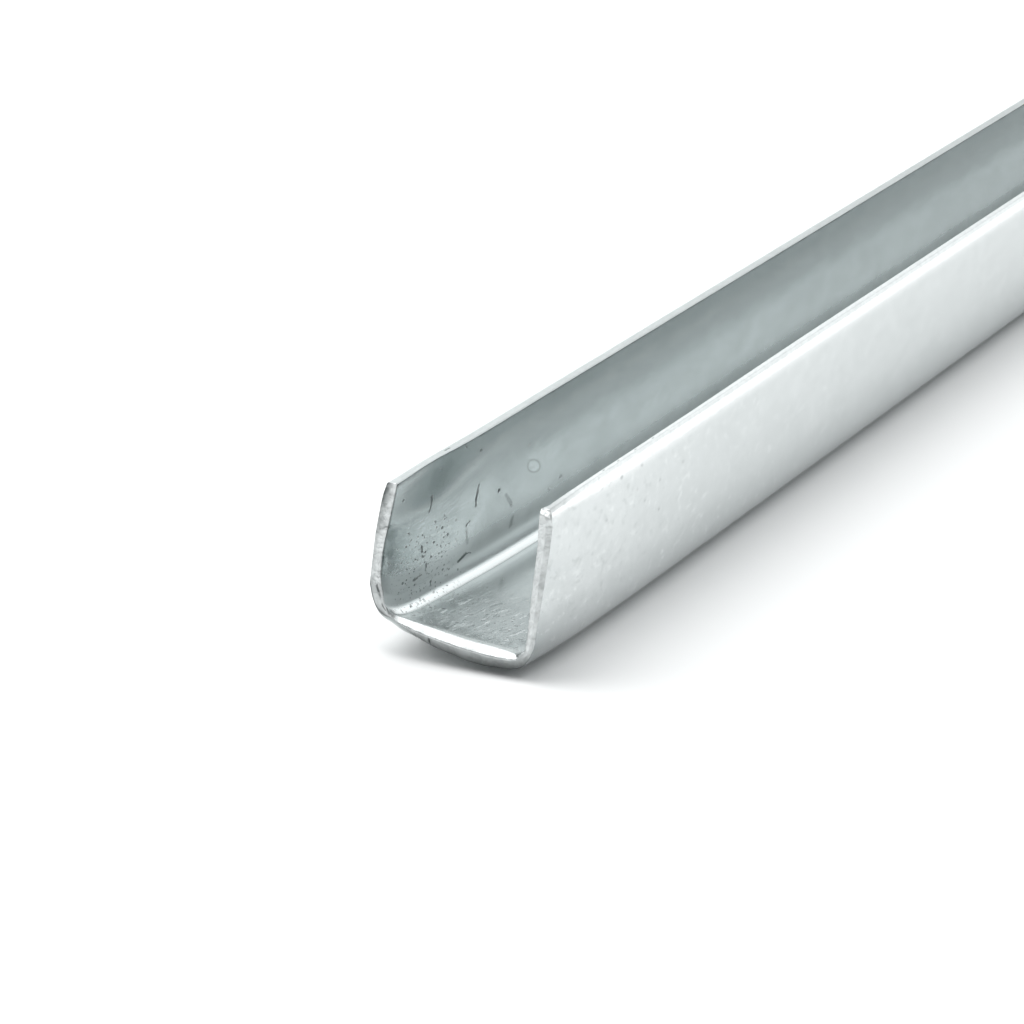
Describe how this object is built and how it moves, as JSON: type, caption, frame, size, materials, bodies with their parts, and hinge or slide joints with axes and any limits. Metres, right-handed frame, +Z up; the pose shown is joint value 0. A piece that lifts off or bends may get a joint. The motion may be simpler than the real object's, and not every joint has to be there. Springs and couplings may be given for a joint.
{
  "type": "zinc u-channel",
  "caption": "Straight length of thin formed zinc U-channel: flat web, rounded bends and two legs that lean in slightly over an open groove for the edge of a pane or sheet.",
  "frame": {"origin": "middle of the underside of the web, at half the length", "axes": "+Y along the stock, +X across it, +Z up out of the open groove"},
  "size_m": [0.0064, 0.305, 0.0063],
  "materials": {
    "zinc": "mill-finish zinc, satin, pale blue-grey, lightly mottled and pitted"
  },
  "bodies": {
    "root": {"u_channel": "zinc"}
  },
  "joints": []
}
